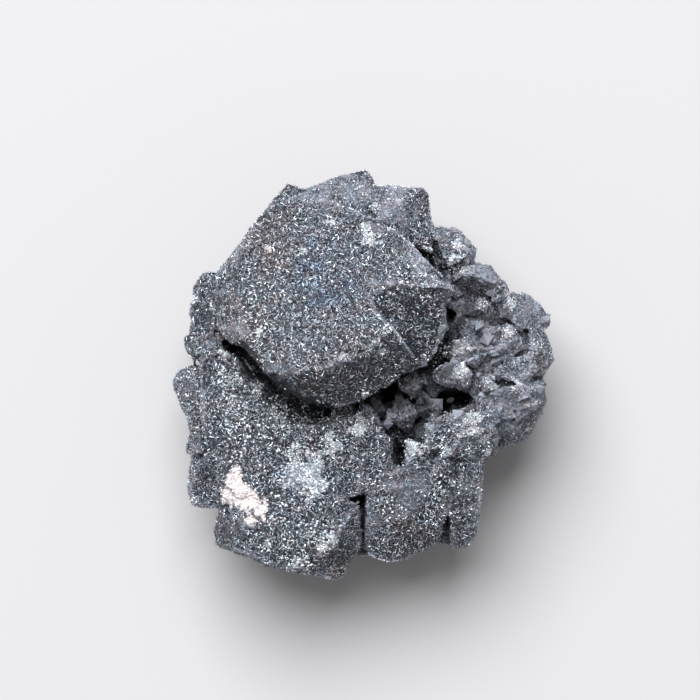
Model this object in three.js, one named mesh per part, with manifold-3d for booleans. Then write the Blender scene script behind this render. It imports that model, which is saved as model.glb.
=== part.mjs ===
// Hematite pseudomorph after magnetite: a cluster of octahedral crystals grown together.
// Millimetres, +Z up. The cluster lies on its broken back, with its best face up.
import * as THREE from "three";
import { ConvexGeometry } from "three/addons/geometries/ConvexGeometry.js";
import { MeshSurfaceSampler } from "three/addons/math/MeshSurfaceSampler.js";
import { mergeVertices } from "three/addons/utils/BufferGeometryUtils.js";
import Module from "manifold-3d";

const wasm = await Module();
wasm.setup();

// ---- driving dimensions -------------------------------------------------------------------
const faceTilt = 19; // degrees that the big crystal's lit face leans towards +Y
const ridgeTurn = 17; // degrees that the big crystal's lower ridge is turned about +Z
const holeThroat = 4; // height above the seat down to which the two holes run straight
const prismHeight = 30; // taller than the cluster, so that the outline trims all of it
const flankTrim = 0.975; // how far the flank crystals stay inside the outline
const looseness = 0.02; // short edges below this are merged away
const holeFlare = 2.6; // how much wider a hole is at the underside
const holeMargin = 1.5; // small crystals keep this far from the middle of a hole
const cutTop = 19; // the groove and the holes are cut from above this height
const seed = 23; // start of the random series that places the small crystals

// The outline as seen from above, anticlockwise from the right.
const outline = [
  [18.2, 1.4], [18.0, 2.4], [17.4, 4.0], [17.8, 5.2], [16.8, 6.8], [15.3, 8.0], [14.6, 7.6], [13.6, 8.4],
  [13.4, 8.9], [12.1, 10.5], [10.5, 10.8], [10.7, 12.1], [9.1, 13.7], [7.3, 14.4], [6.6, 13.9], [6.4, 15.0],
  [6.3, 17.2], [5.8, 17.7], [1.4, 18.0], [0.9, 19.0], [0.2, 19.6], [-0.5, 19.5], [-2.3, 18.8], [-5.9, 17.6],
  [-7.1, 18.3], [-8.5, 16.9], [-12.3, 11.4], [-13.9, 10.0], [-14.9, 10.0], [-15.7, 9.6], [-16.3, 8.7],
  [-16.6, 7.0], [-16.6, 1.5], [-17.7, 0.6], [-18.2, -0.8], [-17.6, -2.6], [-16.9, -3.9], [-16.3, -6.2],
  [-16.6, -10.9], [-16.3, -12.2], [-15.4, -12.8], [-13.9, -12.7], [-14.4, -14.9], [-14.3, -16.2],
  [-9.9, -17.8], [-6.1, -19.0], [-2.3, -19.6], [-1.9, -19.3], [-1.0, -17.4], [0.6, -17.2], [2.2, -17.8],
  [3.9, -17.7], [6.4, -16.4], [8.4, -16.6], [9.6, -16.7], [10.9, -15.0], [10.9, -13.0], [11.3, -10.0],
  [12.2, -7.8], [13.9, -7.1], [14.6, -6.5], [15.4, -6.5], [16.3, -5.0], [17.6, -2.4], [17.1, -0.2],
];

// ---- turning shapes into solids -----------------------------------------------------------
function solidFrom(geometry) {
  const bare = geometry.clone();
  bare.deleteAttribute("normal");
  bare.deleteAttribute("uv");
  const merged = mergeVertices(bare, 1e-5);
  return new wasm.Manifold(new wasm.Mesh({
    numProp: 3,
    vertProperties: Float32Array.from(merged.attributes.position.array),
    triVerts: Uint32Array.from(merged.index.array),
  }));
}

function geometryFrom(solid) {
  const mesh = solid.getMesh();
  const geometry = new THREE.BufferGeometry();
  geometry.setAttribute("position", new THREE.BufferAttribute(mesh.vertProperties, 3));
  geometry.setIndex(new THREE.BufferAttribute(mesh.triVerts, 1));
  return geometry;
}

function hull(corners) {
  return solidFrom(new ConvexGeometry(corners.map((corner) => new THREE.Vector3(...corner))));
}

// An upright slice through the cluster's outline, drawn in by a few percent.
function outlinePrism(scale) {
  const shape = new THREE.Shape(outline.map(([x, y]) => new THREE.Vector2(x * scale, y * scale)));
  const geometry = new THREE.ExtrudeGeometry(shape, { depth: prismHeight, bevelEnabled: false });
  return solidFrom(geometry);
}

// A block of crystal: its upper corners, and a foot that is drawn in towards their middle.
function block(corners, depth, taper) {
  const middle = [0, 1, 2].map((i) => corners.reduce((sum, c) => sum + c[i], 0) / corners.length);
  const foot = corners.map((c) => [
    middle[0] + (c[0] - middle[0]) * taper,
    middle[1] + (c[1] - middle[1]) * taper,
    middle[2] - depth,
  ]);
  return hull([...corners, ...foot]);
}

// ---- the lattice that every crystal in the cluster shares ---------------------------------
const up = new THREE.Vector3(0, 0, 1);
const ridge = new THREE.Vector3(1, 0, 0).applyAxisAngle(up, THREE.MathUtils.degToRad(ridgeTurn));
const litNormal = up.clone().applyAxisAngle(ridge, THREE.MathUtils.degToRad(-faceTilt));
const shadeNormal = litNormal.clone().applyAxisAngle(ridge, Math.acos(1 / 3));
const across = litNormal.clone().add(shadeNormal).normalize();
const axisA = across.clone().add(ridge).normalize();
const axisB = across.clone().sub(ridge).normalize();
const axisC = axisA.clone().cross(axisB);
const lattice = new THREE.Quaternion().setFromRotationMatrix(
  new THREE.Matrix4().makeBasis(axisA, axisB, axisC));

function octahedron(centre, radius, stretch = [1, 1, 1], turn = new THREE.Quaternion()) {
  const geometry = new THREE.OctahedronGeometry(radius);
  geometry.scale(...stretch);
  geometry.applyQuaternion(lattice);
  geometry.applyQuaternion(turn);
  geometry.translate(...centre);
  return solidFrom(geometry);
}

// ---- the body under the crystals, flat where it broke off its matrix ----------------------
const body = hull([
  [-11, -7, 0], [-11.5, 2, 0], [-7, 9, 0], [1, 10.5, 0], [6, 6, 0], [6, -5, 0], [1, -10.5, 0], [-7, -10.5, 0],
  [-14.5, -9, 6], [-15, 3, 6], [-11, 10.5, 6], [-2, 15.5, 6], [7, 14, 6], [12.5, 7, 6.5], [13.5, 0, 7],
  [11, -6, 6.5], [8.5, -12.5, 7], [1, -15, 6], [-11, -14.5, 6],
  [-15.4, -9, 11.5], [-15.6, 3, 11.5], [-12.5, 9, 12], [-4, 16.5, 12.5], [4.5, 16, 12.5], [11, 9.5, 12],
  [15.5, 3, 12], [14.5, -3, 12], [9.8, -10, 12], [8.5, -14.5, 11], [0, -15.5, 11.5], [-12, -15, 11],
]);

// ---- the big octahedron at the front ------------------------------------------------------
const bigCrystal = hull([
  [-9.7, -0.2, 24.0], [-6.1, 0.3, 24.3], [-2.3, 1.1, 24.3], [0.2, 2.4, 24.0], [3.4, 4.0, 23.4],
  [8.5, 7.9, 22.0], [7.6, 9.1, 21.6], [5.8, 10.7, 21.1], [3.4, 13.3, 20.2], [1.5, 14.4, 19.8],
  [-7.1, 18.2, 17.9], [-8.6, 16.7, 18.2], [-12.2, 11.2, 19.7], [-12.0, 4.4, 22.2],
  [-13.9, 9.6, 16.5], [-13.9, 4.6, 17.8], [-12.6, 3.3, 20.0],
  [-7.5, -1.9, 21.2], [-6.1, -3.1, 19.8], [-4.0, -3.6, 19.2], [-2.3, -3.0, 19.3], [0.6, -2.0, 19.2],
  [3.4, -0.6, 18.8], [6.6, 1.4, 17.8], [7.6, 4.3, 18.2],
  [-9, 3, 11], [-2, 2, 11], [5, 3, 11], [6, 9, 11], [0, 15, 11], [-7, 16, 11], [-12, 9, 11],
]);

// The bed that the ragged right side grows from.
const bed = hull([
  [6.2, 13.4, 12.8], [9.0, 12.6, 12.4], [12.0, 9.6, 12.6], [14.4, 6.8, 13.0], [16.4, 3.6, 12.8],
  [16.3, 0.0, 12.8], [15.0, -3.2, 12.6], [12.4, -6.0, 12.6], [9.8, -5.4, 13.4], [10.6, -0.6, 14.6],
  [11.8, 1.2, 15.0], [14.2, 2.0, 14.4], [11.2, 4.4, 15.0],
  [9.6, 3.4, 14.8], [8.6, 7.6, 14.2], [6.6, 11.2, 14.6], [6, 6, 6], [12, 8, 6], [12, -3, 6], [7, -4, 6],
]);

// The notch in its right side, where the crystal never filled its face.
const faceHollow = hull([
  [0.4, 7.9, 26], [1.9, 8.6, 26], [8.2, 7.9, 26], [10.5, 7.0, 26], [11.0, -1.0, 26], [5.0, 1.5, 26],
  [3.5, 4.1, 26], [0.9, 6.6, 26],
  [0.4, 7.9, 22.2], [1.9, 8.6, 22.0], [8.2, 7.9, 21.2], [10.5, 7.0, 20.2], [11.0, -1.0, 15.2],
  [5.0, 1.5, 17.8], [3.5, 4.1, 19.8], [0.9, 6.6, 21.5],
]);

// ---- blocks grown against it: each has upper corners, depth and taper ---------------------
const blocks = [
  // back edge
  [[[-6.0, 17.4, 16.6], [-4.2, 18.1, 15.6], [-2.3, 18.8, 15.3], [-0.2, 19.6, 15.0], [0.4, 19.5, 15.0],
    [1.1, 18.6, 14.8], [1.3, 17.4, 15.0], [0.8, 14.6, 17.8], [-5.8, 14.6, 18.4]], 8, 0.4],
  [[[1.2, 18.0, 14.9], [5.7, 17.7, 14.6], [6.3, 17.1, 14.3], [6.4, 15.2, 13.6], [4.4, 15.0, 16.2],
    [1.5, 14.6, 17.6], [0.2, 15.6, 17.2]], 7, 0.4],
  [[[0.6, 14.8, 17.9], [4.4, 15.6, 15.8], [6.5, 15.2, 13.6], [6.9, 13.4, 14.4], [6.4, 11.6, 15.8],
    [3.2, 12.4, 18.4]], 6, 0.6],
  // upper left shoulder
  [[[-13.4, 9.9, 15.6], [-14.9, 10.0, 13.4], [-15.7, 9.6, 12.6], [-16.3, 8.7, 12.0], [-16.5, 6.5, 11.8],
    [-16.6, 2.0, 12.2], [-16.2, 1.0, 13.0], [-14.4, 2.6, 15.8], [-13.6, 6.0, 17.0]], 7, 0.4],
  [[[-15.3, 3.4, 15.9], [-13.9, 3.5, 16.1], [-13.7, 1.9, 16.9], [-15.2, 1.2, 15.8]], 3, 0.8],
  [[[-14.8, 5.0, 15.4], [-13.0, 4.8, 16.4], [-12.4, 2.6, 16.6], [-13.9, 2.2, 16.2]], 4, 0.8],
  // left point
  [[[-15.2, 1.2, 13.8], [-17.0, 1.0, 11.9], [-17.8, 0.4, 11.4], [-18.2, -0.8, 11.0], [-17.6, -2.6, 11.2],
    [-16.9, -3.9, 11.6], [-16.4, -6.2, 12.0], [-15.0, -6.5, 14.2], [-15.0, -1.5, 14.6]], 6, 0.35],
  // wide plate below the groove, and the lower step at its left
  [[[-15.2, 3.5, 15.8], [-11.9, 1.9, 16.9], [-9.8, -0.3, 17.3], [-8.0, -2.4, 17.5], [-6.1, -4.3, 17.4],
    [-4.2, -5.3, 17.1], [-0.5, -5.8, 16.4], [-0.3, -11.3, 15.7], [-4.0, -12.8, 15.6], [-12.0, -11.6, 15.2],
    [-15.2, -8.4, 14.8], [-15.5, -5.0, 14.8], [-15.6, 1.0, 15.0]], 9, 0.8],
  [[[-15.6, -7.6, 14.4], [-12.6, -9.2, 14.7], [-11.4, -12.6, 14.6], [-13.9, -12.8, 12.6],
    [-15.6, -12.6, 11.6], [-16.4, -12.2, 11.6], [-16.7, -10.9, 11.8], [-16.3, -6.2, 12.2]], 7, 0.4],
  // lower left block
  [[[-12.0, -11.8, 14.8], [-11.6, -14.5, 15.0], [-11.0, -17.0, 14.4], [-8.0, -18.3, 13.8],
    [-5.8, -18.4, 13.9], [-4.2, -17.2, 14.8], [-2.5, -15.4, 15.6], [-0.4, -11.8, 15.6], [-6.0, -10.0, 15.9],
    [-13.9, -12.6, 12.6], [-14.4, -14.9, 11.4], [-14.3, -16.1, 11.0], [-12.7, -16.8, 11.4],
    [-9.9, -17.8, 11.8], [-6.1, -19.0, 11.6], [-2.4, -19.6, 10.8], [-1.9, -19.3, 10.6],
    [-0.8, -17.6, 11.2], [-0.2, -15.3, 12.4]], 7, 0.45],
  // smooth block at the bottom
  [[[-0.1, -10.4, 15.2], [2.0, -9.2, 15.8], [7.0, -9.0, 15.6], [8.0, -11.8, 15.0], [7.8, -13.6, 14.2],
    [0.35, -13.0, 14.7], [0.3, -16.4, 12.2], [0.6, -17.3, 11.4], [2.2, -17.8, 10.8], [3.9, -17.7, 10.7],
    [5.8, -16.9, 11.3], [7.4, -15.9, 12.0]], 7, 0.45],
  // block beside it
  [[[7.6, -7.4, 15.2], [11.6, -7.2, 14.0], [11.3, -10.0, 13.4], [11.0, -11.6, 13.2], [10.9, -14.2, 12.4],
    [8.3, -14.4, 13.6], [7.4, -11.0, 14.6], [10.6, -16.0, 10.4], [9.6, -16.7, 9.8],
    [8.3, -16.5, 10.4]], 7, 0.45],
  // middle ground between the plate and the hollow
  [[[-3.6, -5.0, 16.9], [0.5, -4.7, 16.3], [2.8, -5.9, 15.9], [2.9, -9.2, 15.7], [0.6, -11.4, 15.3],
    [-3.0, -11.0, 15.8]], 8, 0.8],
  [[[-5.2, -4.0, 17.3], [-3.6, -2.6, 17.1], [-0.6, -2.0, 16.7], [0.8, -3.0, 16.4], [1.9, -4.8, 15.9],
    [0.4, -8.0, 16.0], [-4.2, -8.0, 16.5]], 5, 0.9],
  [[[2.6, -8.6, 15.5], [5.0, -8.2, 15.8], [8.6, -7.2, 15.7], [8.8, -10.6, 15.0], [2.6, -10.6, 15.5]], 6, 0.9],
  // low ledges behind the cracks at the bottom and at the far right
  [[[-1.8, -14.6, 10.4], [1.8, -14.6, 10.4], [2.0, -17.4, 8.0], [-1.6, -17.4, 8.0]], 5, 0.8],
  [[[6.6, -13.6, 10.2], [9.8, -13.6, 10.2], [9.4, -16.4, 8.0], [7.0, -16.2, 8.0]], 5, 0.8],
  [[[14.6, 1.6, 11.8], [17.4, 1.0, 10.6], [17.2, -1.4, 10.4], [14.8, -1.8, 11.8]], 4, 0.8],
  // bumpy block right of the hollow
  [[[5.8, -4.9, 15.4], [6.7, -3.8, 15.9], [8.9, -3.3, 16.3], [9.6, -5.4, 16.0], [8.2, -8.0, 15.8],
    [5.6, -7.4, 15.6]], 8, 0.8],
  [[[8.7, -3.6, 16.3], [11.6, -3.4, 15.6], [12.7, -5.3, 14.6], [12.6, -7.5, 13.0], [10.8, -8.2, 14.3],
    [8.4, -7.8, 15.7]], 8, 0.6],
  // right side, from the bottom up
  [[[12.0, -1.6, 15.2], [15.4, -0.6, 14.6], [16.5, -1.6, 13.8], [15.9, -3.2, 13.5], [14.2, -4.7, 13.6],
    [12.2, -3.6, 14.8], [17.1, -0.4, 12.4], [17.6, -2.4, 11.6], [16.8, -4.5, 11.5], [15.4, -6.4, 11.2],
    [14.6, -6.5, 11.4], [13.0, -7.0, 11.5], [11.3, -7.6, 12]], 7, 0.4],
  [[[12.2, -1.8, 16.0], [14.0, -0.9, 15.8], [15.0, -2.2, 15.0], [13.6, -4.4, 14.7],
    [12.4, -3.8, 15.6]], 5, 0.6],
  [[[14.4, -0.8, 15.2], [16.2, -1.0, 14.6], [16.5, -2.8, 13.6], [14.6, -4.4, 14.4],
    [14.4, -2.6, 15.2]], 5, 0.6],
  [[[10.3, -1.8, 14.8], [12.2, -1.9, 15.0], [12.4, -3.4, 14.8], [10.6, -3.3, 14.6]], 4, 0.7],
  [[[7.6, 3.2, 16.0], [9.4, 3.4, 16.8], [11.2, 2.8, 16.2], [11.0, 1.2, 15.9], [9.0, 1.0, 15.8],
    [7.4, 1.8, 15.4]], 5, 0.8],
  [[[11.2, 4.8, 15.8], [14.2, 4.4, 15.6], [15.2, 2.6, 14.8], [13.2, 1.2, 15.2], [11.2, 2.0, 15.8]], 6, 0.7],
  [[[13.2, 1.4, 15.1], [15.6, 2.0, 14.6], [16.6, 0.6, 14.0], [15.2, -0.9, 14.7], [12.6, -0.2, 15.2]], 6, 0.7],
  [[[15.6, 4.8, 13.8], [17.5, 4.0, 12.4], [18.0, 2.4, 12.0], [18.2, 1.4, 11.8], [17.0, -0.2, 12.0],
    [15.6, -0.2, 13.8], [16.1, 2.4, 14.2]], 5, 0.5],
  // broad block at the far right, with the smooth face
  [[[13.2, 7.4, 15.0], [14.4, 8.1, 14.2], [15.3, 7.9, 13.2], [16.8, 6.8, 12.6], [17.8, 5.2, 12.0],
    [17.2, 4.2, 12.6], [15.0, 4.4, 14.4], [13.0, 5.6, 15.3]], 6, 0.6],
  // pyramid below the dark face
  [[[10.3, 6.3, 16.9], [12.0, 4.4, 15.2], [11.6, 2.8, 14.8], [9.0, 3.0, 15.0], [8.8, 5.2, 15.2]], 4, 0.8],
  // block with the dark lower face
  [[[9.4, 10.2, 15.8], [10.8, 10.7, 14.8], [12.1, 10.5, 13.8], [13.0, 9.2, 13.8], [12.4, 8.6, 15.2],
    [10.2, 9.5, 16.4], [8.3, 9.2, 15.6], [8.6, 7.2, 13.6], [12.0, 7.0, 13.4]], 5, 0.7],
  [[[12.3, 9.4, 14.4], [13.5, 8.8, 13.6], [13.8, 7.4, 13.6], [12.8, 6.0, 14.4], [12.0, 7.6, 15.0]], 4, 0.7],
  // lit block at the top of the right side, and the slope between it and the big crystal
  [[[6.9, 14.0, 13.8], [7.3, 14.3, 13.8], [9.1, 13.7, 13.6], [10.2, 12.6, 13.4], [9.6, 11.0, 15.4],
    [7.6, 11.0, 15.8], [6.9, 12.4, 15.4]], 6, 0.7],
  [[[9.4, 13.2, 13.4], [10.8, 12.0, 12.8], [10.5, 10.8, 12.8], [9.4, 10.8, 14.4]], 4, 0.6],
  [[[6.2, 14.8, 13.8], [7.4, 13.6, 14.4], [8.2, 11.0, 15.0], [8.6, 9.0, 14.2], [7.0, 9.8, 13.2],
    [5.4, 12.2, 13.8]], 5, 0.8],
  // block at the top of the open hollow
  [[[7.2, 1.0, 17.2], [8.8, 1.5, 17.0], [10.2, 0.0, 16.5], [9.9, -1.2, 15.6], [8.6, -1.6, 14.2],
    [6.6, -0.6, 14.6], [6.5, 0.4, 15.9]], 4, 0.8],
  [[[11.7, 0.1, 16.6], [12.8, -1.2, 15.6], [11.4, -1.8, 15.4], [10.9, -1.0, 15.2]], 4, 0.8],
];

// ---- larger octahedra around the sides and the underside: centre and radius ---------------
const flankCrystals = [
  [-12.5, -10.5, 7.5, 5.0], [-8.5, -13.5, 5.5, 5.2], [-3.0, -14.5, 7.0, 5.4], [3.0, -13.0, 6.5, 5.2],
  [8.0, -11.5, 7.5, 4.6], [-13.0, -4.0, 6.0, 5.4], [-13.2, 3.0, 7.5, 5.0], [-11.5, 7.5, 9.0, 5.0],
  [-8.5, 11.0, 11.0, 5.6], [-3.5, 14.0, 9.5, 5.6], [2.5, 14.0, 9.0, 5.2], [6.5, 11.5, 10.0, 4.8],
  [9.8, 7.5, 9.0, 4.6], [12.6, 3.5, 9.0, 4.8], [12.0, -2.5, 8.5, 4.6], [9.0, 2.5, 4.5, 4.8],
  [-6.5, -9.0, 2.5, 5.0], [-9.5, 1.0, 2.5, 5.2], [-5.0, 8.0, 3.0, 5.4], [3.0, 9.0, 3.5, 5.2],
  [3.5, -8.0, 3.0, 5.0], [5.5, 0.5, 2.0, 4.6],
];

// ---- crystals that stand free in the open hollow: centre and radius ------------------------
const knobs = [
  [3.7, -3.6, 13.4, 2.1], [5.9, -2.9, 12.6, 1.8], [4.6, -0.6, 14.2, 1.7], [1.1, -3.3, 14.0, 1.3],
  [6.9, -4.9, 13.6, 1.2],
];
const wedge = block([[3.9, -6.0, 16.6], [6.1, -6.8, 17.2], [6.4, -8.8, 16.2], [4.1, -8.9, 15.8]], 8, 0.9);

// ---- sockets in the side walls, where neighbours broke away: centre and radius -------------
const sockets = [
  [-11.0, 14.6, 15.0, 3.0], [-13.8, 12.0, 13.0, 2.4], [-7.0, 18.8, 13.2, 2.6], [-3.8, 19.4, 11.6, 2.4],
  [1.6, 19.6, 11.2, 2.4], [6.4, 17.8, 10.6, 2.6], [7.6, 15.4, 10.0, 2.4], [10.4, 13.8, 9.6, 2.2],
  [13.6, 10.6, 9.8, 2.6], [17.6, 6.8, 9.2, 2.2], [18.6, -0.2, 8.8, 2.2], [14.4, -8.0, 8.4, 2.2],
  [11.8, -12.2, 9.4, 2.4], [0.8, -18.6, 7.8, 2.0], [-7.5, -19.6, 8.2, 2.2], [-15.8, -14.0, 8.0, 2.2],
  [-17.6, -7.5, 8.6, 2.6], [-17.4, 6.2, 8.6, 2.4],
];

// ---- spaces that are open -----------------------------------------------------------------
// A channel is cut along a line. Each point of the line has the width there and the floor's height.
// Each corner of the section stands so many half widths beside the line, and at a share of the depth.
function channel(line, section) {
  const corners = line.flatMap(([x, y, width, floor], i) => {
    const [x0, y0] = line[Math.max(i - 1, 0)];
    const [x1, y1] = line[Math.min(i + 1, line.length - 1)];
    const step = width / 2 / Math.hypot(x1 - x0, y1 - y0);
    return section.map(([out, share]) =>
      [x - (y1 - y0) * step * out, y + (x1 - x0) * step * out, floor + share * (cutTop - floor)]);
  });
  const n = section.length;
  const last = corners.length - n;
  const faces = [];
  for (let row = 0; row < last; row += n) {
    for (let j = 0; j < n; j++) {
      const [a, b] = [row + j, row + ((j + 1) % n)];
      faces.push([a, b, b + n], [a, b + n, a + n]);
    }
  }
  for (let j = 1; j < n - 1; j++) faces.push([0, j + 1, j], [last, last + j, last + j + 1]);
  const geometry = new THREE.BufferGeometry();
  geometry.setAttribute("position", new THREE.Float32BufferAttribute(corners.flat(), 3));
  geometry.setIndex(faces.flat());
  return solidFrom(geometry);
}

// The dark groove that runs on under the big crystal's lower left edge.
const grooveSection = [[-2.4, 1], [-2.0, 0.6], [-0.6, 0.1], [0.2, 0], [1.8, 0], [1.6, 1]];
const groove = channel([
  [-13.2, 3.3, 0.4, 12.6], [-11.9, 2.2, 0.6, 12.6], [-9.7, -0.1, 0.9, 12.6], [-7.9, -2.1, 1.2, 12.6],
  [-6.2, -3.5, 1.2, 12.6], [-4.7, -3.9, 0.8, 12.8], [-3.4, -3.8, 0.4, 13.4],
], grooveSection);

// Cracks either side of the smooth block, and one that runs from its corner into the plate.
const crackSection = [[-1, 1], [-0.3, 0], [0.3, 0], [1, 1]];
const cracks = [
  [[0.0, -12.3, 0.2, 13.4], [0.15, -13.6, 0.35, 12.4], [0.0, -15.2, 0.3, 11.4], [0.1, -16.6, 0.45, 10.4],
    [0.0, -18.2, 0.7, 9.4]],
  [[-2.6, -11.3, 0.15, 14.6], [-1.6, -11.6, 0.4, 14.2], [-0.7, -11.9, 0.5, 13.8], [0.05, -12.4, 0.3, 13.4]],
  [[8.0, -13.6, 0.25, 12.8], [7.8, -14.8, 0.4, 11.6], [8.15, -15.9, 0.5, 10.2], [8.0, -17.4, 1.0, 9.0]],
].map((line) => channel(line, crackSection));

const hollow = [
  // the basin that the knobs stand in, and two deep cavities in it
  hull([[-0.2, -2.6, 19], [0.8, -3.9, 19], [1.9, -4.9, 19], [3.2, -6.1, 19], [5.4, -5.7, 19], [6.6, -4.4, 19],
    [7.6, -3.6, 19], [7.4, -1.2, 19], [6.0, -0.4, 19], [3.8, 0.4, 19], [1.4, -0.4, 19],
    [1.2, -2.6, 12.6], [2.6, -4.4, 11.8], [4.2, -5.0, 11.4], [6.0, -3.8, 11.4], [6.6, -2.0, 11.4],
    [4.2, -0.8, 11.8], [1.6, -1.0, 12.6]]),
  hull([[1.3, -0.7, 19], [2.6, 0.1, 19], [3.6, -0.4, 19], [3.5, -1.9, 19], [2.5, -2.9, 19], [1.5, -2.5, 19],
    [1.8, -1.2, 7], [3.0, -1.0, 7], [2.8, -2.2, 7.5], [1.9, -2.3, 7.5]]),
  hull([[6.9, -1.4, 19], [8.2, -0.9, 19], [10.4, -1.6, 19], [11.0, -2.3, 19], [9.8, -3.3, 19],
    [8.0, -3.4, 19], [6.7, -4.5, 19], [6.2, -3.4, 19],
    [7.3, -1.9, 5.5], [9.6, -1.8, 6], [9.4, -2.9, 6], [6.9, -4.0, 6]]),
  // small pit under the big crystal's edge
  hull([[-1.1, -2.4, 19], [-0.3, -2.5, 19], [-0.2, -3.3, 19], [-0.9, -3.4, 19], [-0.7, -2.9, 13]]),
  // black pit left of the bright wedge
  hull([[3.3, -6.2, 19], [3.9, -6.2, 19], [4.1, -8.7, 19], [3.4, -8.9, 19], [2.9, -7.7, 19],
    [3.4, -7.2, 9], [3.8, -7.2, 9], [3.8, -8.2, 9], [3.5, -8.2, 9]]),
  // pits between the big crystal and the right side
  hull([[7.4, 7.0, 22], [8.3, 6.8, 22], [9.2, 5.8, 22], [8.8, 4.7, 22], [7.6, 4.4, 22],
    [7.9, 6.2, 12.4], [8.6, 5.8, 12.2], [8.2, 5.2, 12.4]]),
  hull([[7.0, 2.0, 22], [8.4, 1.8, 22], [8.2, 1.3, 22], [7.0, 1.2, 22], [7.2, 1.7, 13], [8.0, 1.5, 14]]),
];

// The two holes: rim as seen from above, widened towards the underside.
const holeRims = [
  [[8.0, -2.5], [8.4, -2.2], [8.75, -2.35], [8.7, -2.7], [8.45, -2.95], [8.15, -2.8]],
  [[6.75, -3.95], [6.85, -3.6], [7.25, -3.5], [7.4, -3.8], [7.1, -4.15]],
];
const holeCentres = holeRims.map((rim) =>
  [0, 1].map((i) => rim.reduce((sum, corner) => sum + corner[i], 0) / rim.length));
const holes = holeRims.map((rim, hole) => {
  const [cx, cy] = holeCentres[hole];
  return hull(rim.flatMap(([x, y]) => [
    [x, y, cutTop],
    [x, y, holeThroat],
    [cx + (x - cx) * holeFlare, cy + (y - cy) * holeFlare, -1],
  ]));
});

// ---- small crystals -----------------------------------------------------------------------
let state = seed;
function random() {
  state = (state * 1664525 + 1013904223) % 4294967296;
  return state / 4294967296;
}
const between = (low, high) => low + (high - low) * random();

const clearOfHoles = (spot) => holeCentres.every(([x, y]) => Math.hypot(spot.x - x, spot.y - y) > holeMargin);

// Where small crystals grow: how many, their radius, how far they stray from the lattice in radians,
// and how deep their centre lies under the surface, in radii.
const patches = {
  flank: {
    count: 45, radius: [0.9, 2.2], stray: 0.2, sunk: 0.35,
    holds: (spot, normal) => spot.z > 1.5 && spot.z < 11.5 && normal.z < 0.5,
  },
  druse: {
    count: 54, radius: [0.8, 1.6], stray: 0.3, sunk: 0.55,
    holds: (spot, normal) => spot.z > 9 && spot.z < 17.5 && spot.x > 9 && spot.y > -5.5 && normal.z > -0.2
      && (spot.y < 6.6 || spot.x > 13.5),
  },
  slope: {
    count: 14, radius: [0.5, 1.0], stray: 0.4, sunk: 0.3,
    holds: (spot) => spot.z > 10 && spot.z < 16 && spot.x > 6.4 && spot.x < 9.6 && spot.y > 7 && spot.y < 14,
  },
  lining: {
    count: 34, radius: [0.5, 1.1], stray: 0.5, sunk: 0.2,
    holds: (spot) => spot.z > 9.5 && spot.z < 15.5 && spot.x > -3 && spot.x < 9.5
      && spot.y > -6 && spot.y < 0.5,
  },
};

// Octahedra partly sunk in the surface, all close to the shared lattice.
function grow(solid, patch) {
  const sampler = new MeshSurfaceSampler(new THREE.Mesh(geometryFrom(solid)));
  sampler.setRandomGenerator(random);
  sampler.build();
  const spot = new THREE.Vector3();
  const normal = new THREE.Vector3();
  const crystals = [];
  while (crystals.length < patch.count) {
    sampler.sample(spot, normal);
    if (!patch.holds(spot, normal) || !clearOfHoles(spot)) continue;
    const size = between(...patch.radius);
    const centre = spot.clone().addScaledVector(normal, -size * patch.sunk);
    const angles = [1, 2, 3].map(() => between(-patch.stray, patch.stray));
    const turn = new THREE.Quaternion().setFromEuler(new THREE.Euler(...angles));
    const stretch = [between(0.8, 1.25), between(0.8, 1.25), between(0.7, 1)];
    crystals.push(octahedron(centre.toArray(), size, stretch, turn));
  }
  return crystals;
}

const uneven = ([x, y, z, radius]) =>
  octahedron([x, y, z], radius, [between(0.85, 1.2), between(0.85, 1.2), between(0.8, 1.1)]);
const flankBlocks = wasm.Manifold.union(flankCrystals.map(uneven));
const notched = bigCrystal.subtract(faceHollow);
const rough = wasm.Manifold.union([body, bed, notched, ...blocks.map((b) => block(...b))])
  .add(flankBlocks.intersect(outlinePrism(flankTrim)))
  .subtract(wasm.Manifold.union([groove, ...cracks, ...hollow, ...sockets.map(uneven)]))
  .add(wasm.Manifold.union([...knobs.map(uneven), wedge]));

// Chips that the cuts leave loose, or hanging on by a corner, have fallen away: the cluster is
// the largest piece once the points that touch are joined.
const small = Object.values(patches).flatMap((patch) => grow(rough, patch));
const joined = wasm.Manifold.union([rough, ...small])
  .intersect(outlinePrism(1))
  .subtract(wasm.Manifold.union(holes))
  .simplify(looseness);
const cluster = solidFrom(geometryFrom(joined))
  .decompose()
  .sort((a, b) => b.volume() - a.volume())[0];

// ---- the part -----------------------------------------------------------------------------
const hematite = new THREE.MeshStandardMaterial({
  color: 0x4c5058, roughness: 0.5, metalness: 0.6, flatShading: true,
});
const crystalCluster = new THREE.Mesh(geometryFrom(cluster), hematite);
crystalCluster.name = "crystal_cluster";
const { min, max } = cluster.boundingBox();
crystalCluster.position.set(-(min[0] + max[0]) / 2, -(min[1] + max[1]) / 2, -min[2]);

const part = new THREE.Group();
part.add(crystalCluster);

export default part;
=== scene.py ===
import math

import bmesh
import bpy
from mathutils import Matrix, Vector, bvhtree, kdtree, noise


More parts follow.
